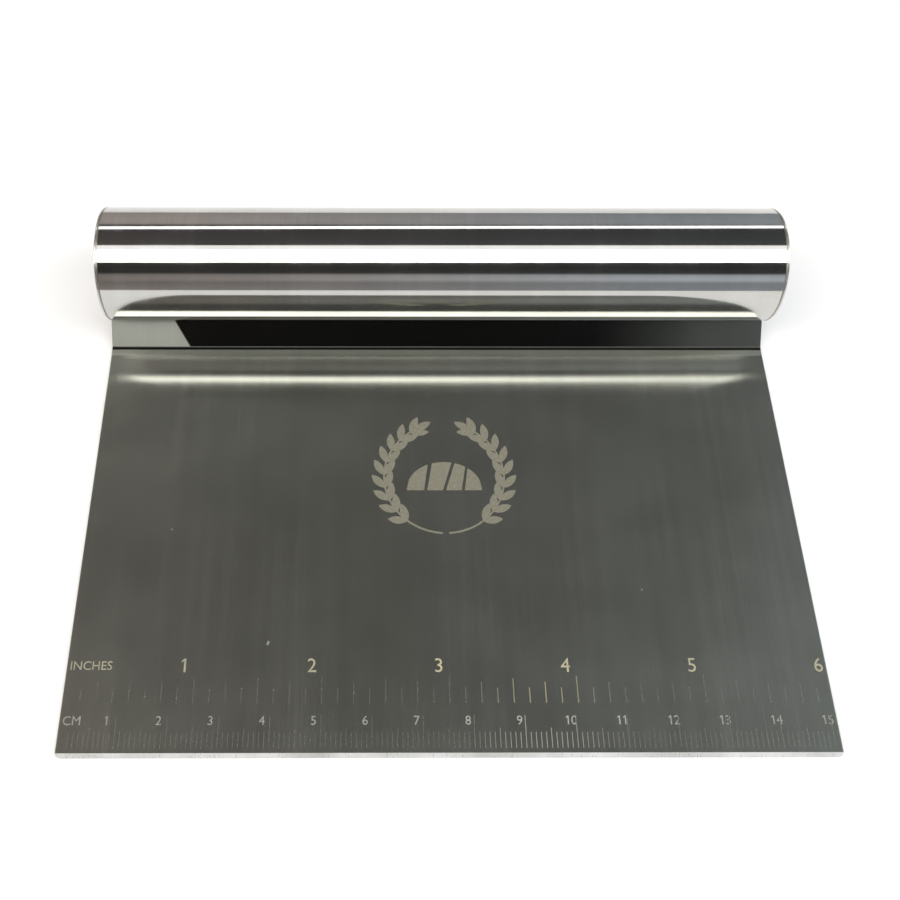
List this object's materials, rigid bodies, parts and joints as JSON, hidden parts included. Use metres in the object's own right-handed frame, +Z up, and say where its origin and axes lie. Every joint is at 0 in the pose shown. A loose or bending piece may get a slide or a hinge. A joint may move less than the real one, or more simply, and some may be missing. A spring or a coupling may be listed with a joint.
{
  "type": "bench scraper",
  "caption": "Bench scraper: flat steel blade with a ground cutting edge and an etched ruler, carried by a round closed tube handle along its back edge.",
  "frame": {"origin": "middle of the footprint at the level of the blade's back face, on which the scraper lies", "axes": "+X across the blade to the right, +Y from the cutting edge to the handle, +Z up from the back of the blade to the face with the ruler"},
  "size_m": [0.1524, 0.1186, 0.0282],
  "materials": {
    "blade_steel": "stainless steel, fine brushing from the cutting edge to the handle",
    "handle_steel": "stainless steel, polished, with fine turning lines round the tube",
    "cap_steel": "stainless steel, pressed and polished in circles",
    "weld_steel": "weld metal, dressed and satin",
    "etch": "frosted etch on stainless steel"
  },
  "bodies": {
    "root": {"blade": "blade_steel", "handle_tube": "handle_steel", "end_cap_left": "cap_steel", "end_cap_right": "cap_steel", "cap_weld_left": "weld_steel", "cap_weld_right": "weld_steel", "handle_weld": "weld_steel"}
  },
  "joints": []
}
